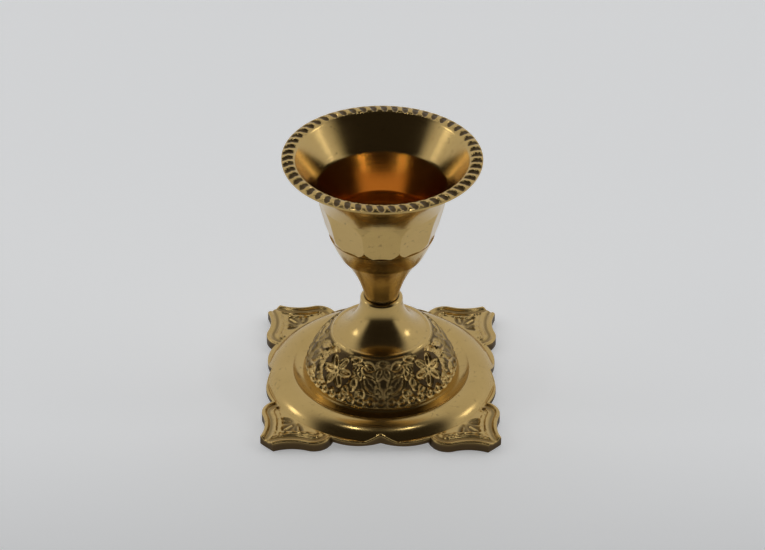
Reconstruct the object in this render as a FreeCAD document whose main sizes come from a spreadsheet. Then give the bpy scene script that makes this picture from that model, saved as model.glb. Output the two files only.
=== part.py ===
import FreeCAD, Part
import math
import os

import Sketcher
from FreeCAD import Placement, Rotation, Vector

# A small brass candle holder: a turned cup screwed down onto a cast foot.
# Millimetres. +Z is up, the origin is under the middle of the foot, on the surface it stands on.
# -Y is the front: one flat side of the square plate and one flat of the cup face that way.

# Driving sizes: alias, value, meaning.
SIZES = [
    # foot, outside
    ("base_width", 55.5, "plate, between opposite corner tips"),
    ("foot_height", 24.9, "underside of the plate to the top of the neck"),
    ("plate_thickness", 2.3, "plate at its corners"),
    ("arch_height", 1.1, "gap under the middle of each side, between the corners it stands on"),
    ("corner_cut", 3.0, "how far each corner of the square is cut back"),
    ("tip_hollow", 0.8, "depth of the hollow edge beside each corner tip"),
    ("shoulder_share", 0.598, "middle of a side to its shoulder, as a share of half the base width"),
    ("shoulder_inset", 0.2, "shoulder behind the corner tips"),
    ("shoulder_rise", 1.0, "bulge of the shoulder's edge"),
    ("notch_share", 0.4144, "middle of a side to its notch, as a share of half the base width"),
    ("notch_inset", 2.5, "notch behind the corner tips"),
    ("cusp_inset", 1.9, "cusp in the middle of a side behind the corner tips"),
    ("lobe_rise", 1.5, "bulge of the two lobes of a side"),
    ("ring_setback", 0.9, "foot of the round moulding behind the corner tips"),
    ("ring_width", 5.8, "round moulding, across its convex part"),
    ("ring_rise", 0.9, "bulge of the round moulding"),
    ("ring_height", 4.9, "inner edge of the round moulding above the surface"),
    ("cove_width", 2.6, "hollow between the round moulding and the groove"),
    ("cove_hollow", 0.25, "depth of that hollow"),
    ("groove_height", 3.8, "bottom of the groove round the dome"),
    ("groove_wall", 0.3, "how far the groove's wall leans"),
    ("dome_lip_height", 4.7, "bottom edge of the dome above the surface"),
    ("dome_rise", 0.9, "bulge of the dome's side"),
    ("dome_height", 15.4, "top of the bead round the top of the dome"),
    ("collar_radius", 11.7, "outside of that bead"),
    ("collar_width", 1.1, "width of the bead outside the trumpet"),
    ("collar_drop", 0.5, "outside of the bead below its top"),
    ("collar_rise", 0.25, "bulge of the bead"),
    ("trumpet_hollow", 1.6, "depth of the trumpet's hollow side"),
    ("neck_radius", 4.95, "neck below its rounded edge"),
    ("neck_round", 0.6, "rounded edge round the top of the neck"),
    # foot, underside
    ("edge_wall", 3.0, "standing edge inside the notches"),
    ("dome_wall", 2.0, "dome wall"),
    ("roof_wall", 1.8, "metal over the hollow, under the collar"),
    ("groove_floor", 1.5, "metal under the groove"),
    ("cavity_slope", 1.6, "how far the hollow's outer wall leans"),
    # cup
    ("cup_height", 38.05, "seam on the neck to the crest of the rim"),
    ("seam_radius", 4.0, "bottom end of the cup"),
    ("stem_share", 0.318, "seam to where the side turns from hollow to full, share of the height"),
    ("stem_spread", 0.805, "bowl at that height, as a share of the bottom of the belt"),
    ("stem_hollow", 0.8, "depth of the hollow lower side"),
    ("bowl_rise", 0.1, "bulge of the side between there and the belt"),
    ("bowl_share", 0.4625, "seam to the bottom of the belt, share of the height"),
    ("belt_share", 0.25, "belt of flats, share of the height"),
    ("belt_spread", 2.3, "how much wider the belt is at its top"),
    ("belt_rise", 0.7, "bulge of the turned belt before the flats are cut"),
    ("belt_ledge", 0.1, "narrow ledge above and below the belt"),
    ("flat_count", 10, "flats round the belt"),
    ("flat_bite", 0.15, "depth of the flats at the ends of the belt"),
    ("flare_hollow", 0.95, "depth of the flare's hollow side"),
    ("rim_radius", 22.75, "outside of the rim"),
    ("rim_edge", 0.6, "rim's upright outer edge"),
    ("rim_undercut", 1.45, "flat underside of the rim"),
    ("rope_width", 2.95, "rope moulding on the rim"),
    ("rope_rise", 0.45, "crest of the rope above its edges"),
    ("rope_count", 54, "strands round the rope moulding"),
    ("rope_lean", 12.0, "lean of the strands from the radius, degrees"),
    ("rope_gap", 1.25, "gap between two strands, at the top"),
    ("rope_depth", 0.6, "depth of that gap"),
    # candle socket
    ("socket_radius", 11.1, "bore that holds the candle"),
    ("socket_wall", 0.95, "thinnest wall, behind the bottom of the flats"),
    ("socket_share", 0.12, "straight length of the bore, share of the cup's height"),
    ("floor_share", 0.56, "crest of the rim to the floor of the socket, share of the height"),
    ("mouth_spread", 3.5, "edge at the bottom of the mouth outside the bore"),
    ("mouth_share", 0.2025, "crest of the rim to that edge, share of the height"),
    ("dish_radius", 8.0, "shallow dish in the socket's floor"),
    ("dish_share", 0.066, "depth of the dish, share of the cup's height"),
    ("dish_bottom", 3.0, "flat middle of the dish"),
    # screw joint
    ("web_share", 0.137, "solid metal between the dish and the tapped hole, share of the height"),
    ("stud_radius", 2.5, "screwed rod"),
    ("stud_chamfer", 0.4, "bevel on the rod's ends"),
    ("stud_tail", 1.4, "rod beyond the nut"),
    ("stud_end_gap", 0.4, "rod short of the bottom of the tapped hole"),
    ("tapped_clearance", 0.05, "rod in the tapped hole and in the nut"),
    ("neck_clearance", 0.25, "rod in the neck"),
    ("washer_clearance", 0.15, "rod in the washer"),
    ("washer_width", 2.35, "washer, from its hole to its edge"),
    ("washer_thickness", 1.0, "washer"),
    ("nut_wall", 1.45, "nut, from its hole to the middle of a flat"),
    ("nut_height", 4.0, "nut"),
    ("nut_chamfer", 0.5, "bevel on the nut's corners"),
]

# Sizes that follow from the driving ones: alias, formula.
DERIVED = [
    ("plate_half", "base_width / 2"),
    ("tip_offset", "plate_half - corner_cut"),
    ("shoulder_reach", "plate_half - shoulder_inset"),
    ("shoulder_offset", "plate_half * shoulder_share"),
    ("notch_reach", "plate_half - notch_inset"),
    ("notch_offset", "plate_half * notch_share"),
    ("cusp_reach", "plate_half - cusp_inset"),
    ("blank_radius", "base_width * 0.75"),
    ("trim_radius", "blank_radius + 1"),
    ("ring_outer", "plate_half - ring_setback"),
    ("ring_inner", "ring_outer - ring_width"),
    ("groove_radius", "ring_inner - cove_width"),
    ("dome_radius", "groove_radius - groove_wall"),
    ("trumpet_radius", "collar_radius - collar_width"),
    ("collar_height", "dome_height - collar_drop"),
    ("neck_top_radius", "neck_radius - neck_round"),
    ("neck_side_height", "foot_height - neck_round"),
    ("cavity_radius", "notch_reach - edge_wall"),
    ("cavity_roof_radius", "cavity_radius - cavity_slope"),
    ("cavity_ledge", "groove_height - groove_floor"),
    ("cavity_dome_radius", "dome_radius - dome_wall"),
    ("cavity_top_radius", "collar_radius - dome_wall"),
    ("cavity_top", "dome_height - roof_wall"),
    ("neck_hole_radius", "stud_radius + neck_clearance"),
    ("stem_height", "cup_height * stem_share"),
    ("belt_bottom", "cup_height * bowl_share"),
    ("belt_top", "belt_bottom + cup_height * belt_share"),
    ("belt_low_radius", "socket_radius + socket_wall"),
    ("stem_radius", "belt_low_radius * stem_spread"),
    ("belt_high_radius", "belt_low_radius + belt_spread"),
    ("bowl_radius", "belt_low_radius + belt_ledge"),
    ("flare_radius", "belt_high_radius + belt_ledge"),
    ("flat_low_radius", "belt_low_radius - flat_bite"),
    ("flat_high_radius", "belt_high_radius - flat_bite"),
    ("rope_height", "cup_height - rope_rise"),
    ("rim_bottom", "rope_height - rim_edge"),
    ("flare_top_radius", "rim_radius - rim_undercut"),
    ("rope_inner", "rim_radius - rope_width"),
    ("rope_bottom", "cup_height - rope_depth"),
    ("gap_half", "rope_gap / 2"),
    ("gap_start", "rim_radius + rope_gap"),
    ("gap_length", "(rope_width + rope_gap) / cos(rope_lean * 1 deg)"),
    ("mouth_radius", "socket_radius + mouth_spread"),
    ("mouth_height", "cup_height * (1 - mouth_share)"),
    ("socket_floor", "cup_height * (1 - floor_share)"),
    ("socket_top", "socket_floor + cup_height * socket_share"),
    ("dish_height", "socket_floor - cup_height * dish_share"),
    ("tapped_radius", "stud_radius + tapped_clearance"),
    ("tapped_depth", "dish_height - cup_height * web_share"),
    ("washer_hole_radius", "stud_radius + washer_clearance"),
    ("washer_radius", "washer_hole_radius + washer_width"),
    ("washer_bottom", "cavity_top - washer_thickness"),
    ("nut_half_width", "tapped_radius + nut_wall"),
    ("nut_corner_radius", "nut_half_width / cos(30 deg)"),
    ("nut_corner_half", "nut_corner_radius / 2"),
    ("nut_bevel_radius", "nut_corner_radius - nut_chamfer"),
    ("nut_bevel_low", "nut_chamfer * tan(30 deg)"),
    ("nut_bottom", "washer_bottom - nut_height"),
    ("stud_bottom", "nut_bottom - stud_tail"),
    ("stud_length", "foot_height + tapped_depth - stud_end_gap - stud_bottom"),
]

doc = FreeCAD.newDocument("CandleHolder")
sheet = doc.addObject("Spreadsheet::Sheet", "Sizes")


def fill_sheet():
    """Write the driving sizes, then the ones worked out from them."""
    row = 1
    for alias, value, meaning in SIZES:
        sheet.set(f"A{row}", meaning)
        sheet.set(f"B{row}", str(value))
        sheet.setAlias(f"B{row}", alias)
        row += 1
    for alias, formula in DERIVED:
        sheet.set(f"A{row}", alias.replace("_", " "))
        sheet.set(f"B{row}", "=" + formula)
        sheet.setAlias(f"B{row}", alias)
        row += 1
    doc.recompute()


def size(name):
    """Value of a named size; a leading minus turns its sign."""
    if name.startswith("-"):
        return -size(name[1:])
    return float(sheet.get(name))


def bound(name):
    """The same size as an expression."""
    if name.startswith("-"):
        return f"-Sizes.{name[1:]}"
    return f"Sizes.{name}"


def new_body(label):
    body = doc.addObject("PartDesign::Body", label.capitalize())
    body.Label = label
    return body


def new_sketch(body, plane, name):
    """Sketch on one of the body's own origin planes."""
    sketch = body.newObject("Sketcher::SketchObject", name)
    planes = {item.Role: item for item in body.Origin.OriginFeatures}
    sketch.AttachmentSupport = [(planes[plane], "")]
    sketch.MapMode = "FlatFace"
    return sketch


def drive(sketch, constraint, expression):
    index = sketch.addConstraint(constraint)
    sketch.setExpression(f"Constraints[{index}]", expression)


def pin_point(sketch, geometry, end, corner):
    """Fix an end of an edge at a named corner. None stands for zero."""
    x_name, y_name = corner
    if x_name is None:
        sketch.addConstraint(Sketcher.Constraint("PointOnObject", geometry, end, -2))
    else:
        across = Sketcher.Constraint("DistanceX", -1, 1, geometry, end, size(x_name))
        drive(sketch, across, bound(x_name))
    if y_name is None:
        sketch.addConstraint(Sketcher.Constraint("PointOnObject", geometry, end, -1))
    else:
        upward = Sketcher.Constraint("DistanceY", -1, 1, geometry, end, size(y_name))
        drive(sketch, upward, bound(y_name))


def corner_point(corner):
    x_name, y_name = corner
    return Vector(size(x_name) if x_name else 0.0, size(y_name) if y_name else 0.0, 0.0)


def difference(first, second):
    """Expression for the distance between two coordinates, either of which may be zero."""
    terms = []
    if second:
        terms.append(f"({bound(second)})")
    if first:
        terms.append(f"-1 * ({bound(first)})")
    return "(" + " + ".join(terms or ["0"]) + ")"


def add_arc(sketch, start, end, rise):
    """Arc whose middle stands off the chord by `rise`: to the right, or to the left if it's -rise.

    Returns the geometry and which of its ends is the start.
    """
    first, last = corner_point(start), corner_point(end)
    chord = last - first
    height = size(rise)
    radius = chord.Length ** 2 / (8 * abs(height)) + abs(height) / 2
    left = Vector(-chord.y, chord.x, 0).normalize()
    side = 1 if height > 0 else -1
    centre = (first + last) / 2 + left * side * (radius - abs(height))
    if height < 0:
        first, last = last, first
    first_angle = math.atan2(first.y - centre.y, first.x - centre.x)
    last_angle = math.atan2(last.y - centre.y, last.x - centre.x)
    circle = Part.Circle(centre, Vector(0, 0, 1), radius)
    geometry = sketch.addGeometry(Part.ArcOfCircle(circle, first_angle, last_angle), False)
    squares = [f"{difference(a, b)}^2" for a, b in zip(start, end)]
    rise_bound = bound(rise.lstrip("-"))
    radius_bound = f"({squares[0]} + {squares[1]}) / (8 * {rise_bound}) + {rise_bound} / 2"
    drive(sketch, Sketcher.Constraint("Radius", geometry, radius), radius_bound)
    return geometry, (1 if height > 0 else 2)


def draw_outline(sketch, corners, bends):
    """Closed outline through named corners. bends maps an edge's number to its rise; others are straight."""
    ends = []
    for number, start in enumerate(corners):
        end = corners[(number + 1) % len(corners)]
        if number in bends:
            geometry, start_end = add_arc(sketch, start, end, bends[number])
        else:
            segment = Part.LineSegment(corner_point(start), corner_point(end))
            geometry, start_end = sketch.addGeometry(segment, False), 1
        ends.append((geometry, start_end))
    for number, (geometry, start_end) in enumerate(ends):
        pin_point(sketch, geometry, start_end, corners[number])
        before, before_start = ends[number - 1]
        join = Sketcher.Constraint("Coincident", before, 3 - before_start, geometry, start_end)
        sketch.addConstraint(join)


def draw_circle(sketch, radius_name):
    circle = Part.Circle(Vector(0, 0, 0), Vector(0, 0, 1), size(radius_name))
    geometry = sketch.addGeometry(circle, False)
    sketch.addConstraint(Sketcher.Constraint("Coincident", geometry, 3, -1, 1))
    drive(sketch, Sketcher.Constraint("Radius", geometry, size(radius_name)), bound(radius_name))


def revolve(body, kind, name, sketch):
    feature = body.newObject(kind, name)
    feature.Profile = sketch
    feature.ReferenceAxis = (sketch, ["V_Axis"])
    feature.Angle = 360
    return feature


def extrude(body, kind, name, sketch, length, side="One side"):
    feature = body.newObject(kind, name)
    feature.Profile = sketch
    feature.SideType = side
    feature.setExpression("Length", length)
    return feature


def repeat(body, name, original, sketch, count_name):
    """The feature again and again round the upright axis."""
    pattern = body.newObject("PartDesign::PolarPattern", name)
    pattern.Originals = [original]
    pattern.Axis = (sketch, ["V_Axis"])
    pattern.Angle = 360
    pattern.setExpression("Occurrences", bound(count_name))
    body.Tip = pattern
    return pattern


def require_less(body, before, what):
    """A cut that misses shows no error, so the volume has to fall."""
    doc.recompute()
    if not body.Shape.Volume < before - 1e-3:
        raise RuntimeError(f"{what} cuts nothing")


# ---------------------------------------------------------------- foot

def plate_outline():
    """Corners and bends of the scalloped square, counterclockwise from the middle of the +X side.

    Each side has a cusp in the middle, two lobes, two notches, two shoulders and two hollow edges
    that end in the cut corners.
    """
    half_side = [
        ("notch_reach", "notch_offset", "lobe_rise"),
        ("shoulder_reach", "shoulder_offset", "shoulder_rise"),
        ("plate_half", "tip_offset", "-tip_hollow"),
    ]
    corners, bends = [], {}
    for quarter in range(4):
        side = [("cusp_reach", None)]
        side += [(reach, offset) for reach, offset, _ in half_side]
        first = len(corners)
        for number, (_, _, rise) in enumerate(half_side):
            bends[first + number] = rise
        next_side = [(offset, reach) for reach, offset, _ in reversed(half_side)]
        rises = [rise for _, _, rise in reversed(half_side)]
        for number, rise in enumerate(rises):
            bends[first + len(side) + number] = rise
        corners += [turned(corner, quarter) for corner in side + next_side]
    return corners, bends


def turned(corner, quarters):
    """A named corner turned about the origin by quarter turns."""
    x_name, y_name = corner
    for _ in range(quarters):
        x_name, y_name = opposite(y_name), x_name
    return x_name, y_name


def opposite(name):
    if name is None:
        return None
    return name[1:] if name.startswith("-") else "-" + name


def make_foot():
    """Cast foot: plate, round moulding, dome and trumpet neck, hollow from below."""
    body = new_body("foot")

    profile = new_sketch(body, "XZ_Plane", "FootProfile")
    draw_outline(profile, [
        (None, None),
        ("blank_radius", None),
        ("blank_radius", "plate_thickness"),
        ("ring_outer", "plate_thickness"),
        ("ring_inner", "ring_height"),
        ("groove_radius", "groove_height"),
        ("dome_radius", "dome_lip_height"),
        ("collar_radius", "collar_height"),
        ("trumpet_radius", "dome_height"),
        ("neck_radius", "neck_side_height"),
        ("neck_top_radius", "foot_height"),
        (None, "foot_height"),
    ], {3: "ring_rise", 4: "-cove_hollow", 6: "dome_rise", 7: "collar_rise", 8: "-trumpet_hollow"})
    revolve(body, "PartDesign::Revolution", "FootBlank", profile)
    doc.recompute()
    before = body.Shape.Volume

    trim = new_sketch(body, "XY_Plane", "PlateOutline")
    draw_circle(trim, "trim_radius")
    corners, bends = plate_outline()
    draw_outline(trim, corners, bends)
    scallop = extrude(body, "PartDesign::Pocket", "Scallop", trim, bound("foot_height"))
    scallop.Reversed = True
    require_less(body, before, "the plate's outline")
    before = body.Shape.Volume

    hollow = new_sketch(body, "XZ_Plane", "HollowProfile")
    draw_outline(hollow, [
        (None, None),
        ("cavity_radius", None),
        ("cavity_roof_radius", "cavity_ledge"),
        ("cavity_dome_radius", "cavity_ledge"),
        ("cavity_top_radius", "cavity_top"),
        (None, "cavity_top"),
    ], {3: "dome_rise"})
    revolve(body, "PartDesign::Groove", "Hollow", hollow)
    require_less(body, before, "the hollow")
    before = body.Shape.Volume

    for plane in ("XZ_Plane", "YZ_Plane"):
        arch = new_sketch(body, plane, f"Arch{plane[:2]}")
        draw_outline(arch, [
            ("-notch_offset", None),
            ("notch_offset", None),
            ("notch_offset", "arch_height"),
            ("-notch_offset", "arch_height"),
        ], {})
        extrude(body, "PartDesign::Pocket", f"ArchCut{plane[:2]}", arch, bound("base_width"), "Symmetric")
        require_less(body, before, "a gap under the plate")
        before = body.Shape.Volume

    hole = new_sketch(body, "XY_Plane", "NeckHoleCircle")
    draw_circle(hole, "neck_hole_radius")
    neck_hole = extrude(body, "PartDesign::Pocket", "NeckHole", hole, bound("foot_height"))
    neck_hole.Reversed = True
    require_less(body, before, "the neck hole")
    return body


# ---------------------------------------------------------------- cup

def make_cup():
    """Turned cup, modelled from its seam upwards and set down on the neck."""
    body = new_body("cup")
    body.setExpression("Placement.Base.z", bound("foot_height"))

    profile = new_sketch(body, "XZ_Plane", "CupProfile")
    draw_outline(profile, [
        (None, None),
        ("seam_radius", None),
        ("stem_radius", "stem_height"),
        ("bowl_radius", "belt_bottom"),
        ("belt_low_radius", "belt_bottom"),
        ("belt_high_radius", "belt_top"),
        ("flare_radius", "belt_top"),
        ("flare_top_radius", "rim_bottom"),
        ("rim_radius", "rim_bottom"),
        ("rim_radius", "rope_height"),
        ("rope_inner", "rope_height"),
        ("mouth_radius", "mouth_height"),
        ("socket_radius", "socket_top"),
        ("socket_radius", "socket_floor"),
        ("dish_radius", "socket_floor"),
        ("dish_bottom", "dish_height"),
        (None, "dish_height"),
    ], {1: "-stem_hollow", 2: "bowl_rise", 4: "belt_rise", 6: "-flare_hollow", 9: "rope_rise"})
    revolve(body, "PartDesign::Revolution", "CupBlank", profile)
    doc.recompute()
    before = body.Shape.Volume

    # Each flat is a plane just inside the two ends of the belt, so it cuts away the belt's bulge.
    flat = new_sketch(body, "YZ_Plane", "FlatProfile")
    draw_outline(flat, [
        ("-flat_low_radius", "belt_bottom"),
        ("-flat_high_radius", "belt_top"),
        ("-rim_radius", "belt_top"),
        ("-rim_radius", "belt_bottom"),
    ], {})
    flat_cut = extrude(body, "PartDesign::Pocket", "Flat", flat, bound("rim_radius"), "Symmetric")
    require_less(body, before, "the first flat")
    before = body.Shape.Volume
    repeat(body, "Flats", flat_cut, flat, "flat_count")
    require_less(body, before, "the ring of flats")
    before = body.Shape.Volume

    strand = new_sketch(body, "XZ_Plane", "StrandGap")
    strand.AttachmentOffset = Placement(Vector(0, 0, 0), Rotation(Vector(0, 1, 0), size("rope_lean")))
    strand.setExpression("AttachmentOffset.Base.z", bound("gap_start"))
    strand.setExpression("AttachmentOffset.Rotation.Angle", bound("rope_lean"))
    draw_outline(strand, [
        (None, "rope_bottom"),
        ("gap_half", "cup_height"),
        ("-gap_half", "cup_height"),
    ], {})
    gap_cut = extrude(body, "PartDesign::Pocket", "Gap", strand, bound("gap_length"))
    require_less(body, before, "the first gap of the rope")
    before = body.Shape.Volume
    repeat(body, "Gaps", gap_cut, profile, "rope_count")
    require_less(body, before, "the rope")
    before = body.Shape.Volume

    tapped = new_sketch(body, "XY_Plane", "TappedCircle")
    draw_circle(tapped, "tapped_radius")
    tapped_hole = extrude(body, "PartDesign::Pocket", "TappedHole", tapped, bound("tapped_depth"))
    tapped_hole.Reversed = True
    require_less(body, before, "the tapped hole")
    return body


# ---------------------------------------------------------------- screw joint

def make_stud():
    body = new_body("stud")
    body.setExpression("Placement.Base.z", bound("stud_bottom"))
    circle = new_sketch(body, "XY_Plane", "StudCircle")
    draw_circle(circle, "stud_radius")
    rod = extrude(body, "PartDesign::Pad", "Rod", circle, bound("stud_length"))
    doc.recompute()
    bevel = body.newObject("PartDesign::Chamfer", "StudEnds")
    ends = [f"Edge{i + 1}" for i, edge in enumerate(rod.Shape.Edges) if edge.isClosed()]
    bevel.Base = (rod, ends)
    bevel.setExpression("Size", bound("stud_chamfer"))
    return body


def make_washer():
    body = new_body("washer")
    body.setExpression("Placement.Base.z", bound("washer_bottom"))
    circles = new_sketch(body, "XY_Plane", "WasherCircles")
    draw_circle(circles, "washer_radius")
    draw_circle(circles, "washer_hole_radius")
    extrude(body, "PartDesign::Pad", "Disc", circles, bound("washer_thickness"))
    return body


def make_nut():
    body = new_body("nut")
    body.setExpression("Placement.Base.z", bound("nut_bottom"))
    hexagon = new_sketch(body, "XY_Plane", "NutHexagon")
    corner = [
        ("nut_corner_radius", None),
        ("nut_corner_half", "nut_half_width"),
        ("-nut_corner_half", "nut_half_width"),
        ("-nut_corner_radius", None),
        ("-nut_corner_half", "-nut_half_width"),
        ("nut_corner_half", "-nut_half_width"),
    ]
    draw_outline(hexagon, corner, {})
    draw_circle(hexagon, "tapped_radius")
    extrude(body, "PartDesign::Pad", "Hexagon", hexagon, bound("nut_height"))
    doc.recompute()
    before = body.Shape.Volume

    bevel = new_sketch(body, "XZ_Plane", "NutBevel")
    draw_outline(bevel, [
        ("nut_corner_radius", None),
        ("nut_corner_radius", "nut_bevel_low"),
        ("nut_bevel_radius", None),
    ], {})
    revolve(body, "PartDesign::Groove", "Bevel", bevel)
    require_less(body, before, "the nut's bevel")
    return body


def check_and_write(bodies):
    """Refuse a failed feature or a bad solid, then write one STEP file for each piece."""
    doc.recompute()
    for item in doc.Objects:
        if "Invalid" in item.State or "Error" in item.State:
            raise RuntimeError(f"{item.Label} failed: {item.State}")
    for body in bodies:
        shape = body.Shape
        if shape.isNull() or not shape.isValid() or len(shape.Solids) != 1:
            raise RuntimeError(f"{body.Label} is not one valid solid")
    os.makedirs("parts", exist_ok=True)
    for body in bodies:
        body.Shape.exportStep(f"parts/{body.Label}.step")
        box = body.Shape.BoundBox
        print(f"{body.Label}: {body.Shape.Volume:.1f} mm3, z {box.ZMin:.2f} to {box.ZMax:.2f}")


fill_sheet()
check_and_write([make_foot(), make_cup(), make_stud(), make_washer(), make_nut()])
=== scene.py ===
"""A small brass candle holder: a turned cup with a rope edge, screwed onto a cast foot.

Sizes are in millimetres (MM turns them into Blender's metres). +Z is up and -Y is the front.
"""

import math

import bmesh
import bpy
import numpy as np
from mathutils import Matrix, Vector


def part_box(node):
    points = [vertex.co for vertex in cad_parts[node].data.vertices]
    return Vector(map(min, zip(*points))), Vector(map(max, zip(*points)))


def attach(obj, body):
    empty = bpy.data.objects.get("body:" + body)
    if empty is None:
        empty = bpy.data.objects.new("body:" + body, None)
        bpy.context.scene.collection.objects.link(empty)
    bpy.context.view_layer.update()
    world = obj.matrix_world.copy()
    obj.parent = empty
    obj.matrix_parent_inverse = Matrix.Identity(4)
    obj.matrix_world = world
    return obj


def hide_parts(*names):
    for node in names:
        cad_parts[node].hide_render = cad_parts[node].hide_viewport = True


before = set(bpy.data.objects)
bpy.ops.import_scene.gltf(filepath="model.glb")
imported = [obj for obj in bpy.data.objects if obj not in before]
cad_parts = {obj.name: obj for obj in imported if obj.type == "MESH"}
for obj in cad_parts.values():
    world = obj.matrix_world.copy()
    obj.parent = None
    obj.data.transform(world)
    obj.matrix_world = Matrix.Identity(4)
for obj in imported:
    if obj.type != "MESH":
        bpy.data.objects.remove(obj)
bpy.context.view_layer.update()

MM = 0.001
SHARP_ANGLE = 34.0              # degrees between two faces from which their edge is sharp

# ------------------------------------------------------------ sizes

CUP_LOW, CUP_HIGH = (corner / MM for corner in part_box("cup"))
FOOT_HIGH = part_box("foot")[1] / MM
STUD_LOW, STUD_HIGH = (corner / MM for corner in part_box("stud"))

SEAM = CUP_LOW.z                # underside of the cup, top of the neck
CUP_TOP = CUP_HIGH.z
RIM_RADIUS = CUP_HIGH.x
PLATE_HALF = FOOT_HIGH.x
STUD_RADIUS = STUD_HIGH.x

# Foot, the same outline as the CAD foot.
PLATE_TOP = 2.3
ARCH_HEIGHT = 1.1
CORNER_CUT = 3.0
SHOULDER = (PLATE_HALF - 0.2, PLATE_HALF * 0.598)
NOTCH = (PLATE_HALF - 2.5, PLATE_HALF * 0.4144)
CUSP = (PLATE_HALF - 1.9, 0.0)
TIP = (PLATE_HALF, PLATE_HALF - CORNER_CUT)
TIP_HOLLOW, SHOULDER_RISE, LOBE_RISE = 0.8, 1.0, 1.5
RING_OUTER = PLATE_HALF - 0.9
RING_INNER = RING_OUTER - 5.8
RING_HEIGHT, RING_RISE = 4.9, 0.9
GROOVE_RADIUS, GROOVE_HEIGHT = RING_INNER - 2.6, 3.8
COVE_HOLLOW, GROOVE_ROUND = 0.25, 0.1
DOME_RADIUS, DOME_LIP = GROOVE_RADIUS - 0.3, 4.7
DOME_RISE = 0.9
COLLAR_RADIUS, DOME_TOP = 11.7, 15.4
COLLAR_WIDTH, COLLAR_DROP, COLLAR_RISE = 1.1, 0.5, 0.25
COLLAR_FOOT = (COLLAR_RADIUS, DOME_TOP - COLLAR_DROP)
TRUMPET_HOLLOW = 1.6
NECK_RADIUS, NECK_ROUND, NECK_BULGE = 4.95, 0.6, 0.12
NECK_HOLE = STUD_RADIUS + 0.25
EDGE_ROUND = 0.35               # rounded top edge of the plate
EDGE_BEVEL = 0.2                # bevelled bottom edge of the plate
CAVITY_RADIUS, CAVITY_SLOPE = NOTCH[0] - 3.0, 1.6
CAVITY_LEDGE = GROOVE_HEIGHT - 1.5
DOME_WALL, ROOF_WALL = 2.0, 1.8

# Cup, the same profile as the CAD cup.
CUP_HEIGHT = CUP_TOP - SEAM
SOCKET_RADIUS = 11.1
FLOOR = CUP_TOP - CUP_HEIGHT * 0.56
SOCKET_TOP = FLOOR + CUP_HEIGHT * 0.12
MOUTH_RADIUS, MOUTH_EDGE = SOCKET_RADIUS + 3.5, CUP_TOP - CUP_HEIGHT * 0.2025
DISH_RADIUS, DISH_BOTTOM, DISH_FLOOR = 8.0, 3.0, FLOOR - CUP_HEIGHT * 0.066
TAPPED_RADIUS, TAPPED_TOP = STUD_RADIUS + 0.05, DISH_FLOOR - CUP_HEIGHT * 0.137
SEAM_RADIUS, SEAM_BEVEL = 4.0, 0.15
AXIS_RADIUS = 0.3               # innermost ring of a face that closes on the axis
BELT_BOTTOM = SEAM + CUP_HEIGHT * 0.4625
BELT_TOP = BELT_BOTTOM + CUP_HEIGHT * 0.25
BELT_LOW = SOCKET_RADIUS + 0.95
BELT_HIGH = BELT_LOW + 2.3
BELT_RISE, BELT_LEDGE = 0.7, 0.1
FLAT_BITE, FLAT_COUNT = 0.15, 10
FLAT_ROUND = 0.04               # polish on the edges of the flats
STEM_RADIUS, STEM_TOP, STEM_HOLLOW = BELT_LOW * 0.805, SEAM + CUP_HEIGHT * 0.318, 0.8
BOWL_RISE = 0.1
ROPE_RISE, RIM_EDGE, RIM_UNDERCUT = 0.45, 0.6, 1.45
RIM_BEVEL = (0.05, 0.12)
ROPE_WIDTH, ROPE_COUNT, ROPE_LEAN = 2.95, 54, 12.0
ROPE_DEPTH = 0.45
ROPE_FALL = 0.1                 # outer edge of the rope below its inner edge
HOLLOW_HALF = 0.31              # half width of a hollow, as a share of one strand's turn
FLARE_HOLLOW = 0.95

# Stud.
THREAD_PITCH, THREAD_DEPTH, STUD_BEVEL, STUD_END = 0.8, 0.38, 0.4, 0.05
STUD_COLUMNS, RINGS_PER_TURN = 40, 8

# Relief of the dome. Its levels run from the ground to 1 on a ridge, and RELIEF_HEIGHT turns them
# into millimetres. Motifs are placed by millimetres sideways and down the dome.
GROUND, FLOWER_GROUND = -0.55, -0.65
RELIEF_HEIGHT = 0.30
PAINTED_SHADE_SHARE, PAINTED_SHADE_LEVEL = 0.85, 0.42     # painted dark reflection halfway between two flowers, one such place being the dome's front: share of the relief's level taken away, and level taken off
LEAF_LINE, LEAF_SUNK, LEAF_VEIN, VEIN_WIDTH = 0.34, 0.45, 0.6, 0.24
SLIT_WIDTH, SLIT_DEPTH = 0.26, 1.3
FLOWER_PLACE, FLOWER_REACH, FLOWER_TURN = (0.0, 5.2), 4.25, 24.0
FLOWER_ANGLE, LEAVES_ANGLE = math.radians(47), math.radians(2)
PETAL_COUNT, PETAL_PLACE, PETAL_SIZE = 6, 2.25, (3.3, 2.0)
BORDER_COUNT, BORDER_PLACE, BORDER_SIZE = 44, (0.0, 10.5), (1.9, 1.5)
# Leaves in pairs, mirrored: sideways, down, length, width, angle.
FLOWER_LEAVES = [
    (2.9, 1.3, 3.0, 1.4, 78),
    (4.6, 3.4, 3.2, 1.5, 38),
    (5.0, 6.6, 3.0, 1.4, -20),
    (3.5, 8.7, 2.8, 1.3, -58),
]
STEM_LEAVES = [
    (3.0, 6.4, 5.6, 3.3, 38),
    (1.0, 3.6, 3.4, 1.5, -24),
    (3.2, 2.2, 2.8, 1.3, 66),
    (1.1, 8.2, 2.8, 1.2, 20),
    (5.6, 8.9, 2.4, 1.2, -40),
    (5.8, 3.9, 2.6, 1.2, 10),
]
TOP_LEAF = (0.0, 1.4, 2.0, 1.1, 90)

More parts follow.
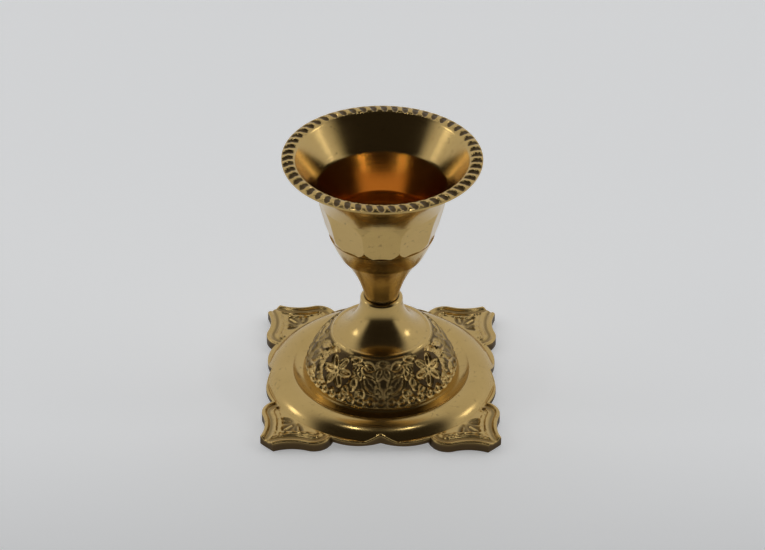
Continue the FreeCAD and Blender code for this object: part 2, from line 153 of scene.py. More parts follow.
# Relief of the plate's corners, in millimetres.
# Mouldings: height, distance from the plate's edge, half width.
CORNER_MOULDINGS = [
    (0.30, 0.55, 0.45),
    (-0.22, 1.6, 0.5),
    (0.24, 2.65, 0.28),
    (-0.10, 3.15, 0.22),
]
BEAD_HEIGHT, BEAD_PLACE, BEAD_HALF, BEAD_PITCH = 0.26, 3.75, 0.3, 1.3
FAN_ANGLES, FAN_START, FAN_SPREAD = (-52, 0, 52), 27.6, (3.0, 2.7)
FAN_PETAL, FAN_DEPTH, FAN_MARGIN = (4.4, 2.4), 0.34, 4.0

# Camera: how far from its target, how high it looks from, and the small tilt of the picture.
CAMERA_DISTANCE, CAMERA_ELEVATION, CAMERA_ROLL = 658.3, 34.29, 0.32
CAMERA_TARGET = Vector((0.2, 0.0, 30.4))
CAMERA_LENS = 133.8
SENSOR_WIDTH = 36.0

# Floor and light, in metres.
FLOOR_REACH, FLOOR_FRONT = 3.0, -0.35
FLOOR_GLOW = 0.345
TENT_STRENGTH = 0.70
TENT_SIDES, TENT_TOP = -0.52, 0.60      # how far the dark front reaches to the sides and up
LIGHT_AIM = (0, 0, 0.03)
# Lights in pairs, mirrored: name, place, size, power.
LIGHTS = [
    ("softbox", (0.84, 0.12, 0.50), 0.18, 0.22),
    ("top_light", (0.24, -0.08, 0.97), 0.05, 0.17),
]

# Colours.
BRASS = (0.57, 0.395, 0.148, 1)
BRASS_DEEP = (0.48, 0.325, 0.112, 1)
# Tarnish colour, also used for the painted shade where the relief layer is low.
BRASS_TARNISH_AND_SHADE = (0.075, 0.047, 0.023, 1)
# Painted reflection: the orange of light bouncing round inside the candle socket.
BRASS_PAINTED_GLOW = (0.74, 0.40, 0.13, 1)
STEEL = (0.62, 0.62, 0.60, 1)
STEEL_DEEP = (0.48, 0.47, 0.44, 1)
STEEL_DULL = (0.25, 0.24, 0.22, 1)
FLOOR_PALE = (0.86, 0.87, 0.875, 1)
FLOOR_PALER = (0.89, 0.90, 0.90, 1)
FLOOR_DARK = (0.10, 0.10, 0.10, 1)
TENT_PALE = (0.96, 0.97, 1.0, 1)
TENT_DARK = (0.035, 0.030, 0.027, 1)


# ------------------------------------------------------------ profiles

def arc(start, end, rise, steps):
    """Points from start to end along an arc that stands `rise` to the right of the straight way.

    A negative rise is to the left. The start is included and the end is left for what follows.
    """
    start, end = np.array(start, float), np.array(end, float)
    share = np.linspace(0.0, 1.0, steps, endpoint=False)
    if not rise:
        return start + share[:, None] * (end - start)
    chord = end - start
    length = np.hypot(*chord)
    radius = length ** 2 / (8 * abs(rise)) + abs(rise) / 2
    right = np.array([chord[1], -chord[0]]) / length * math.copysign(1, rise)
    centre = (start + end) / 2 - right * (radius - abs(rise))
    half_turn = math.asin(length / 2 / radius)
    turn = half_turn * (2 * share - 1)
    along = chord / length
    return centre + radius * (np.cos(turn)[:, None] * right + np.sin(turn)[:, None] * along)


def line(start, end, steps):
    """Points along a straight way, without its end."""
    return arc(start, end, 0, steps)


def normals(points):
    """Unit normals of a profile, to the left of the way it runs."""
    way = np.gradient(points, axis=0)
    way /= np.hypot(way[:, 0], way[:, 1])[:, None]
    return np.stack([-way[:, 1], way[:, 0]], 1)


def side_outline():
    """One side of the scalloped plate, from its cusp to the cut corner, with +X outwards."""
    return np.concatenate([
        arc(CUSP, NOTCH, LOBE_RISE, 40),
        arc(NOTCH, SHOULDER, SHOULDER_RISE, 40),
        arc(SHOULDER, TIP, -TIP_HOLLOW, 40),
        [TIP],
    ])


def full_outline(cut_corners=True):
    """The whole outline of the plate as x, y points, counterclockwise from the front left corner.

    Without cut corners the sides run on past the cut, nearly to a point.
    """
    half = side_outline()
    if not cut_corners:
        reach = half[-1] - half[-2]
        steps = (PLATE_HALF + 1.0 - half[-1][1]) / reach[1]
        half = np.concatenate([half, [half[-1] + reach * steps]])
    side = np.concatenate([half[::-1] * [1, -1], half[1:]])
    quarter_turn = np.array([[0, -1], [1, 0]])
    turns = [-quarter_turn, np.eye(2), quarter_turn, -np.eye(2)]
    return np.concatenate([side @ turn.T for turn in turns])


# ------------------------------------------------------------ meshes

class Turned:
    """Collects the rings of a turned shape, each with a radius, a height and layers at every angle."""

    def __init__(self, angles, *layers):
        self.angles = angles
        self.rings = []
        self.layers = {layer: [] for layer in layers}

    def ring(self, radius, height, **levels):
        """Add one ring. Numbers hold for the whole ring, arrays for each angle."""
        ones = np.ones_like(self.angles)
        self.rings.append((radius * ones, height * ones))
        for layer, values in self.layers.items():
            values.append(levels.get(layer, 0.0) * ones)

    def profile(self, points, **levels):
        """Add a round ring at each point of a profile."""
        for radius, height in points:
            self.ring(radius, height, **levels)

    def mesh(self, name, open_ends=True):
        """The mesh of all rings so far."""
        return revolved_mesh(name, self.rings, self.angles, self.layers, open_ends)


def revolved_mesh(name, rings, angles, layers, open_ends):
    """Mesh from rings of (radius, height) arrays, one value per angle.

    layers maps an attribute's name to one array per ring. Columns close on themselves, and so do
    the rings when the ends aren't open.
    """
    radius = np.array([ring[0] for ring in rings])
    height = np.array([ring[1] for ring in rings])
    count, columns = radius.shape
    points = np.stack([radius * np.cos(angles), radius * np.sin(angles), height], 2)
    index = np.arange(count * columns).reshape(count, columns)
    beside = np.roll(index, -1, axis=1)
    if open_ends:
        upper, lower = slice(0, -1), slice(1, None)
        quads = np.stack([index[upper], index[lower], beside[lower], beside[upper]], 2)
    else:
        below, below_beside = np.roll(index, -1, axis=0), np.roll(beside, -1, axis=0)
        quads = np.stack([index, below, below_beside, beside], 2)
    mesh = bpy.data.meshes.new(name)
    mesh.from_pydata((points.reshape(-1, 3) * MM).tolist(), [], quads.reshape(-1, 4).tolist())
    for layer, values in layers.items():
        attribute = mesh.attributes.new(layer, "FLOAT", "POINT")
        attribute.data.foreach_set("value", np.array(values, np.float32).reshape(-1))
    finish_mesh(mesh)
    return mesh


def finish_mesh(mesh):
    """Merge points that coincide, close the ends, face outwards, and mark the sharp edges."""
    work = bmesh.new()
    work.from_mesh(mesh)
    bmesh.ops.remove_doubles(work, verts=work.verts, dist=0.002 * MM)
    bmesh.ops.dissolve_degenerate(work, edges=work.edges, dist=0.001 * MM)
    rims = [edge for edge in work.edges if edge.is_boundary]
    if rims:
        bmesh.ops.holes_fill(work, edges=rims, sides=0)
    bmesh.ops.recalc_face_normals(work, faces=work.faces)
    for face in work.faces:
        face.smooth = True
    limit = math.radians(SHARP_ANGLE)
    for edge in work.edges:
        edge.smooth = not (edge.is_manifold and edge.calc_face_angle() > limit)
    work.to_mesh(mesh)
    work.free()


def add_piece(name, mesh, node, material):
    """A visual piece that rides on the body and takes the place of a CAD node."""
    piece = bpy.data.objects.new(name, mesh)
    bpy.context.scene.collection.objects.link(piece)
    mesh.materials.append(material)
    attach(piece, "root")
    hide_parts(node)


# ------------------------------------------------------------ relief

def ridge(distance, width):
    """Height of a rounded ridge at a distance from its crest."""
    return np.exp(-(distance / width) ** 2)


def local(across, down, place, angle):
    """Coordinates in the frame of a motif at `place`, turned by `angle` degrees."""
    turn = math.radians(angle)
    x, y = across - place[0], down - place[1]
    return x * math.cos(turn) + y * math.sin(turn), -x * math.sin(turn) + y * math.cos(turn)


def leaf(across, down, place, length, width, angle):
    """Raised outline of a pointed leaf with a sunk inside and a midrib."""
    y, x = local(across, down, place, angle)
    along = np.clip(2 * x / length, -1.2, 1.2)
    half = width / 2 * (1 - along ** 2)
    inside = (np.abs(along) < 1) & (np.abs(y) < half)
    edge = np.where(np.abs(along) < 1, np.abs(np.abs(y) - half), np.hypot(np.abs(x) - length / 2, y))
    relief = ridge(edge, LEAF_LINE) - LEAF_SUNK * inside * (1 - ridge(edge, 0.5))
    return relief + LEAF_VEIN * inside * ridge(y, VEIN_WIDTH)


def petal(across, down, place, length, width, angle):
    """Raised pad with a slit along its middle."""
    y, x = local(across, down, place, angle)
    reach = np.hypot(2 * x / length, 2 * y / width)
    pad = np.clip(1.2 - reach ** 2, 0, 1) ** 0.6
    slit = ridge(y, SLIT_WIDTH) * np.clip((0.72 - reach) / 0.2, 0, 1)
    return pad - SLIT_DEPTH * slit


def flower(across, down, place):
    """Petals round a small boss."""
    relief = ridge(np.hypot(across - place[0], down - place[1]), 0.5)
    for number in range(PETAL_COUNT):
        angle = math.radians(FLOWER_TURN) + number * 2 * math.pi / PETAL_COUNT
        centre = (place[0] + PETAL_PLACE * math.sin(angle), place[1] - PETAL_PLACE * math.cos(angle))
        pad = petal(across, down, centre, *PETAL_SIZE, math.degrees(angle))
        relief = np.where(np.abs(pad) > np.abs(relief), pad, relief)
    return relief


def from_nearest(angles, first, count):
    """Angle from the nearest of `count` places round the axis, of which one is at `first`."""
    step = 2 * math.pi / count
    return (angles - first + step / 2) % step - step / 2


def lay(relief, shape):
    """Lay a shape over the relief, and leave the relief where the shape is flat."""
    return np.maximum(relief, np.where(np.abs(shape) > 0.04, shape, -1.0))


def lay_pairs(relief, across, down, leaves):
    """Lay each leaf and its mirror image."""
    for mirror in (-1, 1):
        for side, below, length, width, angle in leaves:
            shape = leaf(across, down, (side * mirror, below), length, width, angle * mirror)
            relief = lay(relief, shape)
    return relief


def dome_relief(angles, down, radius):
    """Height of the flowers and leaves on the dome, below 0 in the ground and about 1 on a ridge.

    angles is one row, down and radius are one column: the length down the side and the radius there.
    """
    relief = np.full(np.broadcast_shapes(angles.shape, down.shape), GROUND)

    across = from_nearest(angles, FLOWER_ANGLE, 4) * radius
    relief = lay_pairs(relief, across, down, FLOWER_LEAVES)
    petals = flower(across, down, FLOWER_PLACE)
    bed = np.where(np.abs(petals) > 0.10, 1.15 * petals, FLOWER_GROUND)
    near = np.hypot(across - FLOWER_PLACE[0], down - FLOWER_PLACE[1]) < FLOWER_REACH
    relief = np.where(near, bed, relief)

    across = from_nearest(angles, LEAVES_ANGLE, 4) * radius
    relief = lay_pairs(relief, across, down, STEM_LEAVES)
    relief = lay(relief, leaf(across, down, TOP_LEAF[:2], *TOP_LEAF[2:]))

    # Row of small loops along the lower border.
    across = from_nearest(angles, 0.0, BORDER_COUNT) * radius
    return lay(relief, 0.9 * leaf(across, down, BORDER_PLACE, *BORDER_SIZE, 0))


def corner_relief(x, y, outline):
    """Height in millimetres of the mouldings and the small fan on the plate's corners."""
    near = np.full(x.shape, np.inf)
    along = np.zeros(x.shape)
    way = np.hypot(*np.diff(outline, axis=0, append=outline[:1]).T).cumsum()
    for number, point in enumerate(outline):
        distance = np.hypot(x - point[0], y - point[1])
        closer = distance < near
        near = np.where(closer, distance, near)
        along = np.where(closer, way[number], along)
    relief = np.zeros(x.shape)
    for height, place, half_width in CORNER_MOULDINGS:
        relief += height * ridge(near - place, half_width)
    beads = 0.7 + 0.3 * np.cos(2 * math.pi * along / BEAD_PITCH)
    relief += BEAD_HEIGHT * beads * ridge(near - BEAD_PLACE, BEAD_HALF)

    # Fan of hollow petals on the diagonal, opening towards the tip.
    outwards = (np.abs(x) + np.abs(y)) / math.sqrt(2) - FAN_START
    sideways = (np.abs(y) - np.abs(x)) / math.sqrt(2)
    fan = np.zeros(x.shape)
    for angle in FAN_ANGLES:
        turn = math.radians(angle)
        centre = (FAN_SPREAD[0] * math.sin(turn), FAN_SPREAD[1] * math.cos(turn) - 0.1)
        fan = np.maximum(fan, petal(sideways, outwards, centre, *FAN_PETAL, -angle))
    relief -= np.clip((near - FAN_MARGIN) / 0.4, 0, 1) * FAN_DEPTH * fan
    from_ring = np.clip((np.hypot(x, y) - RING_OUTER - 0.15) / 0.5, 0, 1)
    return relief * from_ring


# ------------------------------------------------------------ foot

def foot_angles():
    """Column angles, one at each notch, and the angle of the notch."""
    notch = math.atan2(NOTCH[1], NOTCH[0])
    side = np.linspace(-notch, notch, 64)
    corner = np.linspace(notch, math.pi / 2 - notch, 84)[1:-1]
    quarter = np.concatenate([side, corner])
    return np.concatenate([quarter + turn * math.pi / 2 for turn in range(4)]), notch


def outline_radius(angles, outline):
    """Distance from the axis to the outline at each angle."""
    around = np.unwrap(np.arctan2(outline[:, 1], outline[:, 0]))
    reach = np.hypot(outline[:, 0], outline[:, 1])
    order = np.argsort(around)
    return np.interp(angles, around[order], reach[order], period=2 * math.pi)


def add_neck(foot):
    """Top of the neck, trumpet and the bead round the dome's top."""
    neck_edge = (NECK_RADIUS - NECK_ROUND, SEAM)
    neck_side = (NECK_RADIUS, SEAM - NECK_ROUND)
    trumpet_foot = (COLLAR_RADIUS - COLLAR_WIDTH, DOME_TOP)
    # Painted shade on the neck's top, where the cup sits on it.
    foot.profile(line((NECK_HOLE, SEAM), neck_edge, 3), relief=-0.9)
    foot.profile(arc(neck_edge, neck_side, -NECK_BULGE, 5))
    foot.profile(arc(neck_side, trumpet_foot, TRUMPET_HOLLOW, 14))
    foot.profile(arc(trumpet_foot, COLLAR_FOOT, -COLLAR_RISE, 5))


def add_dome(foot):
    """The dome's side with its flowers, darkened with painted dark reflection halfway between two
    flowers.
    """
    dome = arc(COLLAR_FOOT, (DOME_RADIUS, DOME_LIP), -DOME_RISE, 62)
    out = -normals(dome)
    down = np.concatenate([[0], np.hypot(*np.diff(dome, axis=0).T).cumsum()])
    pattern = dome_relief(foot.angles[None, :], down[:, None], dome[:, :1])
    # Painted dark reflection at four places round the dome, one of them its front.
    painted_shade = np.cos(2 * (foot.angles - LEAVES_ANGLE)) ** 4
    border = np.clip(down / 0.5, 0, 1) * np.clip((down[-1] - 0.7 - down) / 0.3, 0, 1)
    for row, (radius, height) in enumerate(dome):
        level = pattern[row] * border[row]
        raised = RELIEF_HEIGHT * level
        foot.ring(
            radius + raised * out[row, 0],
            height + raised * out[row, 1],
            relief=level * (1 - PAINTED_SHADE_SHARE * painted_shade) - PAINTED_SHADE_LEVEL * painted_shade * border[row],
            cast=border[row],
        )


def add_ring(foot, ring_line, ring_end):
    """The groove round the dome and the round moulding, which stops at the plate's edge."""
    groove = (GROOVE_RADIUS, GROOVE_HEIGHT)
    foot.profile(arc((DOME_RADIUS, DOME_LIP), groove, -GROOVE_ROUND, 3), relief=0.1)
    foot.profile(arc(groove, (RING_INNER, RING_HEIGHT), COVE_HOLLOW, 6))
    for share in np.linspace(0, 1, 16, endpoint=False):
        radius = RING_INNER + (ring_end - RING_INNER) * share
        foot.ring(radius, np.interp(radius, *ring_line.T))


def add_plate(foot, ring_line, ring_end, plate_end):
    """Top of the plate's corners."""
    sharp = full_outline(cut_corners=False)
    edge_height = np.interp(plate_end, *ring_line.T, right=PLATE_TOP)
    for share in np.linspace(0, 1, 34):
        radius = ring_end + (plate_end - ring_end) * share
        raised = corner_relief(radius * np.cos(foot.angles), radius * np.sin(foot.angles), sharp)
        foot.ring(
            radius,
            np.maximum(edge_height, PLATE_TOP) + raised,
            relief=np.clip(raised / 0.6, -1, 1),
            cast=np.clip((radius - RING_OUTER) / 0.5, 0, 0.4),
        )


def add_edge(foot, reach, plate_end, bottom):
    """Rounded top edge and upright side of the plate, rougher as cast towards the bottom and darker
    there, partly as oxide and partly as painted shade.
    """
    top = foot.rings[-1][1]
    turns = np.linspace(0, math.pi / 2, 5)[1:]
    # Partly oxide of the cast skin, partly painted shade: the side darkens towards the floor.
    for turn, level, rough in zip(turns, (0.6, 0.5, 0.1, -0.5), (0.6, 0.6, 0.6, 1.0)):
        radius = plate_end + EDGE_ROUND * math.sin(turn)
        foot.ring(radius, top - EDGE_ROUND * (1 - math.cos(turn)), relief=level, cast=rough)
    foot.ring(reach, bottom + EDGE_BEVEL, relief=-0.8, cast=1.0)
    foot.ring(reach - EDGE_BEVEL, bottom, relief=-0.9, cast=1.0)


def add_underside(foot, bottom):
    """The face the foot stands on and the hollow up to the roof, dull as cast."""
    as_cast = {"relief": -0.7, "cast": 1.0}
    wall_foot = (DOME_RADIUS - DOME_WALL, CAVITY_LEDGE)
    roof_edge = (COLLAR_RADIUS - DOME_WALL, DOME_TOP - ROOF_WALL)
    roof_hole = (NECK_HOLE, DOME_TOP - ROOF_WALL)
    foot.ring(CAVITY_RADIUS, bottom, **as_cast)
    foot.profile(line((CAVITY_RADIUS - CAVITY_SLOPE, CAVITY_LEDGE), wall_foot, 3), **as_cast)
    foot.profile(arc(wall_foot, roof_edge, DOME_RISE, 7), **as_cast)
    foot.profile(line(roof_edge, roof_hole, 3), **as_cast)
    foot.profile([roof_hole], **as_cast)


def make_foot(material):
    """The cast foot, turned from the neck's hole outwards and back along the underside."""
    angles, notch = foot_angles()
    reach = outline_radius(angles, full_outline())
    plate_end = reach - EDGE_ROUND
    ring_end = np.minimum(RING_OUTER, plate_end)
    ring_line = arc((RING_INNER, RING_HEIGHT), (RING_OUTER, PLATE_TOP), -RING_RISE, 200)
    stands = np.abs(from_nearest(angles, 0.0, 4)) >= notch - 1e-6
    bottom = np.where(stands, 0.0, ARCH_HEIGHT)

    foot = Turned(angles, "relief", "cast")
    add_neck(foot)
    add_dome(foot)
    add_ring(foot, ring_line, ring_end)
    add_plate(foot, ring_line, ring_end, plate_end)
    add_edge(foot, reach, plate_end, bottom)
    add_underside(foot, bottom)
    add_piece("brass_foot", foot.mesh("brass_foot", open_ends=False), "foot", material)


# ------------------------------------------------------------ cup

def add_stem(cup):
    """Tapped hole, stem and the turned bowl under the belt."""
    stem = (STEM_RADIUS, STEM_TOP)
    bowl_top = (BELT_LOW + BELT_LEDGE, BELT_BOTTOM)
    cup.profile([(AXIS_RADIUS, TAPPED_TOP), (TAPPED_RADIUS, TAPPED_TOP)])
    # Painted shade in the joint where the cup sits on the foot.
    seam = [(TAPPED_RADIUS, SEAM), (SEAM_RADIUS - SEAM_BEVEL, SEAM), (SEAM_RADIUS, SEAM + SEAM_BEVEL)]
    cup.profile(seam, relief=-0.5)
    cup.profile(arc((SEAM_RADIUS, SEAM + 2 * SEAM_BEVEL), stem, -STEM_HOLLOW, 24))
    cup.profile(arc(stem, bowl_top, BOWL_RISE, 12))
    cup.profile([bowl_top])


def add_belt(cup):
    """The turned bulge, cut down to the nearest flat."""
    belt_top = (BELT_HIGH, BELT_TOP)
    belt = np.concatenate([arc((BELT_LOW, BELT_BOTTOM), belt_top, BELT_RISE, 44), [belt_top]])
    to_flat = from_nearest(cup.angles, -math.pi / 2, FLAT_COUNT)
    for radius, height in belt:
        share = (height - BELT_BOTTOM) / (BELT_TOP - BELT_BOTTOM)
        flat = (BELT_LOW - FLAT_BITE + (BELT_HIGH - BELT_LOW) * share) / np.cos(to_flat)
        gap = np.clip(0.5 + (flat - radius) / (2 * FLAT_ROUND), 0, 1)
        cup.ring(flat * (1 - gap) + radius * gap - FLAT_ROUND * gap * (1 - gap), height)


def add_flare(cup, rim_bottom):
    """The hollow flare over the belt and the underside and edge of the rim."""
    flare_top = (RIM_RADIUS - RIM_UNDERCUT, rim_bottom)
    cup.profile(arc((BELT_HIGH + BELT_LEDGE, BELT_TOP), flare_top, -FLARE_HOLLOW, 24))
    cup.profile(line(flare_top, (RIM_RADIUS, rim_bottom), 3))
    cup.profile([(RIM_RADIUS - RIM_BEVEL[0], rim_bottom), (RIM_RADIUS, rim_bottom + RIM_BEVEL[1])])


def add_rope(cup, rope_inner, rope_height):
    """Narrow strands that lean a little, with a rounded oval hollow between each two."""
    rope = arc((RIM_RADIUS, rope_height - ROPE_FALL), (rope_inner, rope_height), ROPE_RISE, 20)
    out = -normals(rope)
    lean = math.tan(math.radians(ROPE_LEAN))
    for row, (radius, height) in enumerate(rope):
        across = 2 * row / (len(rope) - 1) - 1
        shift = (RIM_RADIUS - radius) * lean / radius
        phase = ((cup.angles + shift) * ROPE_COUNT / (2 * math.pi)) % 1.0 - 0.5
        hollow = np.clip(1 - (phase / HOLLOW_HALF) ** 2 - 1.05 * abs(across) ** 3.2, 0, 1) ** 0.5
        sunk = ROPE_DEPTH * hollow
        # Painted shade: the hollows go dark, while the strands keep their colour.
        level = 0.5 - 1.5 * np.clip(hollow * 1.6, 0, 1)
        cup.ring(radius - sunk * out[row, 0], height - sunk * out[row, 1], relief=level)


def add_mouth(cup, rope_inner, rope_height):
    """Conical mouth, tapered drip edge, candle socket and dished floor."""
    mouth = (MOUTH_RADIUS, MOUTH_EDGE)
    socket = (SOCKET_RADIUS, SOCKET_TOP)
    taper = line(mouth, socket, 16)
    cup.profile(line((rope_inner, rope_height), mouth, 16))
    cup.profile(taper[:1])
    # Painted reflection on the socket's walls: the orange of light bouncing round inside.
    cup.profile(taper[1:], warm=1.0)
    # Painted shade: darker deeper down in the socket.
    cup.profile(line(socket, (SOCKET_RADIUS, FLOOR), 6), relief=-0.1, warm=1.0)
    cup.profile(line((SOCKET_RADIUS, FLOOR), (DISH_RADIUS, FLOOR), 3), relief=-0.15)
    cup.profile(line((DISH_RADIUS, FLOOR), (DISH_BOTTOM, DISH_FLOOR), 5), relief=-0.2)
    cup.profile([(DISH_BOTTOM, DISH_FLOOR), (AXIS_RADIUS, DISH_FLOOR)], relief=-0.2)


def make_cup(material):
    """The turned cup, from its tapped hole up the outside and down into the socket."""
    columns = FLAT_COUNT * ROPE_COUNT
    angles = -math.pi / 2 + math.pi / FLAT_COUNT + 2 * math.pi / columns * np.arange(columns)
    rope_inner = RIM_RADIUS - ROPE_WIDTH
    rope_height = CUP_TOP - ROPE_RISE

    cup = Turned(angles, "relief", "warm")
    add_stem(cup)
    add_belt(cup)
    add_flare(cup, rope_height - RIM_EDGE)
    add_rope(cup, rope_inner, rope_height)
    add_mouth(cup, rope_inner, rope_height)
    add_piece("brass_cup", cup.mesh("brass_cup"), "cup", material)


# ------------------------------------------------------------ stud

def make_stud(material):
    """The screwed rod: a real helical thread between its bevelled ends."""
    stud = Turned(np.linspace(0, 2 * math.pi, STUD_COLUMNS, endpoint=False))
    stud.ring(STUD_END, STUD_LOW.z)
    for height in np.arange(STUD_LOW.z, STUD_HIGH.z + 1e-6, THREAD_PITCH / RINGS_PER_TURN):
        from_end = min(height - STUD_LOW.z, STUD_HIGH.z - height)
        phase = (height / THREAD_PITCH + stud.angles / (2 * math.pi)) % 1.0
        thread = STUD_RADIUS - THREAD_DEPTH * np.abs(2 * phase - 1)
        stud.ring(np.minimum(thread, STUD_RADIUS - STUD_BEVEL + from_end), height)
    stud.ring(STUD_END, STUD_HIGH.z)
    add_piece("screwed_stud", stud.mesh("screwed_stud"), "stud", material)


# ------------------------------------------------------------ materials

class Nodes:
    """Short way to build a node tree: each call adds a node and returns it."""

    def __init__(self, tree):
        self.tree = tree
        tree.nodes.clear()

    def add(self, kind, inputs=(), **settings):
        node = self.tree.nodes.new(kind)
        for key, value in settings.items():
            setattr(node, key, value)
        for key, value in dict(inputs).items():
            self.set(node, key, value)
        return node

    def set(self, node, key, value):
        if isinstance(value, bpy.types.NodeSocket):
            self.tree.links.new(value, node.inputs[key])
        else:
            node.inputs[key].default_value = value

    def math(self, operation, first, second=0.0, third=None):
        inputs = {0: first, 1: second}
        if third is not None:
            inputs[2] = third
        return self.add("ShaderNodeMath", inputs, operation=operation).outputs[0]

    def mix(self, share, first, second):
        node = self.add("ShaderNodeMix", data_type="RGBA")
        self.set(node, 0, share)
        self.set(node, 6, first)
        self.set(node, 7, second)
        return node.outputs[2]

    def noise(self, vector, scale, detail=3.0, rough=0.5):
        inputs = {"Vector": vector, "Scale": scale, "Detail": detail, "Roughness": rough}
        return self.add("ShaderNodeTexNoise", inputs).outputs["Fac"]

    def ramp(self, value, low, high, to_low=0.0, to_high=1.0):
        inputs = {0: value, 1: low, 2: high, 3: to_low, 4: to_high}
        return self.add("ShaderNodeMapRange", inputs, clamp=True).outputs[0]


def metal(name, colour, deep, tarnish_and_shade, roughness, grain, cast=False, warm=None):
    """Polished metal with lathe lines, cloudy tarnished patches, and darker parts where the mesh's
    relief layer is low: partly patina in hollows, partly painted shade.

    grain is the strength of the lathe lines. cast adds the pitted skin of the relief, which the
    "cast" layer of the mesh turns on. The last argument is a colour for the walls of the candle
    socket: painted reflection, the orange of light bouncing round inside it.
    """
    material = bpy.data.materials.new(name)
    material.use_nodes = True
    nodes = Nodes(material.node_tree)
    place = nodes.add("ShaderNodeTexCoord").outputs["Object"]
    x, y, z = nodes.add("ShaderNodeSeparateXYZ", {0: place}).outputs
    squares = nodes.math("ADD", nodes.math("MULTIPLY", x, x), nodes.math("MULTIPLY", y, y))
    flat = nodes.math("SQRT", squares)
    relief = nodes.add("ShaderNodeAttribute", attribute_name="relief").outputs["Fac"]

    clouds = nodes.noise(place, scale=90.0, detail=4.0, rough=0.55)
    specks = nodes.noise(place, scale=900.0, detail=2.0, rough=0.6)
    cloudy = nodes.ramp(clouds, low=0.42, high=0.68)
    base = nodes.mix(nodes.math("MULTIPLY", cloudy, 0.45), colour, deep)
    # Low relief pulls the colour towards tarnish: patina in the hollows, and painted shade in the
    # rope's hollows, the socket, the seam, the plate's sides and the dome halfway between its flowers.
    sunk = nodes.ramp(relief, low=-0.05, high=-0.6)
    base = nodes.mix(nodes.math("MULTIPLY", sunk, 0.94), base, tarnish_and_shade)
    spotted = nodes.ramp(specks, low=0.62, high=0.74, to_high=0.35)
    base = nodes.mix(spotted, base, tarnish_and_shade)

    # Painted reflection: the orange of light bouncing round inside the socket, laid on its walls.
    if warm:
        glow_share = nodes.add("ShaderNodeAttribute", attribute_name="warm").outputs["Fac"]
        base = nodes.mix(glow_share, base, warm)

    # Lathe lines run round the axis, so they vary only with radius and height.
    profile = nodes.add("ShaderNodeCombineXYZ", {0: flat, 1: 0.0, 2: z}).outputs[0]
    lines = nodes.noise(profile, scale=5200.0, detail=2.0, rough=0.7)
    coarse = nodes.noise(profile, scale=900.0, detail=2.0, rough=0.6)
    wear = nodes.math("MULTIPLY_ADD", coarse, 0.10, roughness - 0.05)
    wear = nodes.math("MULTIPLY_ADD", cloudy, 0.05, wear)
    wear = nodes.math("MULTIPLY_ADD", sunk, 0.22, wear)

    bump = nodes.add("ShaderNodeBump", {"Strength": grain, "Distance": 0.00002, "Height": lines})
    normal = bump.outputs[0]
    if cast:
        rough_skin = nodes.add("ShaderNodeAttribute", attribute_name="cast").outputs["Fac"]
        wear = nodes.math("MULTIPLY_ADD", rough_skin, 0.10, wear)
        pits = nodes.noise(place, scale=1500.0, detail=3.0, rough=0.6)
        skin = nodes.math("MULTIPLY", pits, rough_skin)
        inputs = {"Strength": 0.25, "Distance": 0.00010, "Height": skin, "Normal": normal}
        normal = nodes.add("ShaderNodeBump", inputs).outputs[0]

    shader = nodes.add("ShaderNodeBsdfPrincipled")
    looks = {
        "Base Color": base,
        "Metallic": 1.0,
        "Roughness": wear,
        "Normal": normal,
        "Anisotropic": 0.35,
    }
    for key, value in looks.items():
        nodes.set(shader, key, value)
    tangent = nodes.add("ShaderNodeTangent", direction_type="RADIAL", axis="Z")
    nodes.set(shader, "Tangent", tangent.outputs[0])
    output = nodes.add("ShaderNodeOutputMaterial")
    nodes.set(output, "Surface", shader.outputs[0])
    return material


def floor_material():
    """Pale card that lies in shade towards the front."""
    material = bpy.data.materials.new("pale_floor")
    material.use_nodes = True
    nodes = Nodes(material.node_tree)
    place = nodes.add("ShaderNodeTexCoord").outputs["Object"]
    mottle = nodes.noise(place, scale=6.0, detail=2.0)
    colour = nodes.mix(mottle, FLOOR_PALE, FLOOR_PALER)
    y = nodes.add("ShaderNodeSeparateXYZ", {0: place}).outputs["Y"]
    shaded = nodes.ramp(y, low=-0.02, high=-0.26)
    colour = nodes.mix(shaded, colour, FLOOR_DARK)
    shader = nodes.add("ShaderNodeBsdfPrincipled", {"Base Color": colour, "Roughness": 0.75})
    nodes.set(shader, "Emission Color", colour)
    nodes.set(shader, "Emission Strength", FLOOR_GLOW)
    output = nodes.add("ShaderNodeOutputMaterial")
    nodes.set(output, "Surface", shader.outputs[0])
    return material


# ------------------------------------------------------------ stage

def make_floor():
    """Flat floor under and behind the candle holder."""
    mesh = bpy.data.meshes.new("floor")
    near, far = FLOOR_FRONT, FLOOR_REACH
    corners = [(-far, near, 0), (far, near, 0), (far, far, 0), (-far, far, 0)]
    mesh.from_pydata(corners, [], [(0, 1, 2, 3)])
    mesh.materials.append(floor_material())
    floor = bpy.data.objects.new("floor", mesh)
    bpy.context.scene.collection.objects.link(floor)


def make_camera():
    """Long lens that looks down from the front."""
    data = bpy.data.cameras.new("camera")
    data.sensor_width = SENSOR_WIDTH
    data.lens = CAMERA_LENS
    data.clip_start, data.clip_end = 0.01, 20.0
    camera = bpy.data.objects.new("camera", data)
    bpy.context.scene.collection.objects.link(camera)
    rise = math.radians(CAMERA_ELEVATION)
    away = Vector((0, -math.cos(rise), math.sin(rise)))
    turn = (-away).to_track_quat("-Z", "Y").to_matrix().to_4x4()
    roll = Matrix.Rotation(math.radians(CAMERA_ROLL), 4, "Z")
    place = (CAMERA_TARGET + away * CAMERA_DISTANCE) * MM
    camera.matrix_world = Matrix.Translation(place) @ turn @ roll
    bpy.context.scene.camera = camera


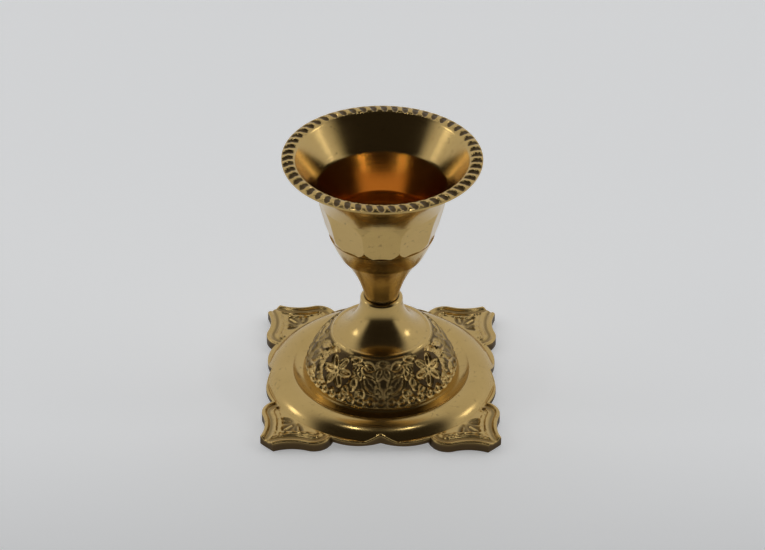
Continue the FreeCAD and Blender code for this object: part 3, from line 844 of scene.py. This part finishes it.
def area_light(name, place, size, power):
    """Square light that shines at the candle holder's middle."""
    data = bpy.data.lights.new(name, "AREA")
    data.size = size
    data.energy = power
    light = bpy.data.objects.new(name, data)
    bpy.context.scene.collection.objects.link(light)
    light.location = place
    light.rotation_euler = (Vector(LIGHT_AIM) - Vector(place)).to_track_quat("-Z", "Y").to_euler()


def make_light():
    """A pale tent, dark towards the front where it is open, with a small soft light on each side."""
    bpy.context.scene.view_settings.view_transform = "Standard"
    world = bpy.data.worlds.new("tent")
    bpy.context.scene.world = world
    world.use_nodes = True
    nodes = Nodes(world.node_tree)
    way = nodes.add("ShaderNodeTexCoord").outputs["Generated"]
    x, y, z = nodes.add("ShaderNodeSeparateXYZ", {0: way}).outputs
    sideways = nodes.math("MULTIPLY", nodes.math("ABSOLUTE", x), TENT_SIDES)
    upwards = nodes.math("MULTIPLY_ADD", z, TENT_TOP, sideways)
    frontness = nodes.math("SUBTRACT", upwards, y)
    shade = nodes.ramp(frontness, low=-0.02, high=0.28)
    tint = nodes.mix(shade, TENT_PALE, TENT_DARK)
    back = nodes.add("ShaderNodeBackground", {"Color": tint, "Strength": TENT_STRENGTH})
    output = nodes.add("ShaderNodeOutputWorld")
    nodes.set(output, "Surface", back.outputs[0])

    for side, side_name in ((-1, "left"), (1, "right")):
        for name, (out, behind, above), size, power in LIGHTS:
            area_light(f"{side_name}_{name}", (out * side, behind, above), size, power)


# ------------------------------------------------------------ build

make_camera()
make_floor()
make_light()

cup_brass = metal("turned_brass", BRASS, BRASS_DEEP, BRASS_TARNISH_AND_SHADE, 0.15, 0.5, warm=BRASS_PAINTED_GLOW)
foot_brass = metal("cast_brass", BRASS, BRASS_DEEP, BRASS_TARNISH_AND_SHADE, 0.17, 0.4, cast=True)
zinc = metal("zinc_steel", STEEL, STEEL_DEEP, STEEL_DULL, 0.32, 0.2)

make_foot(foot_brass)
make_cup(cup_brass)
make_stud(zinc)
for node in ("washer", "nut"):
    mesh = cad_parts[node].data
    mesh.materials.clear()
    mesh.materials.append(zinc)

bpy.context.view_layer.update()
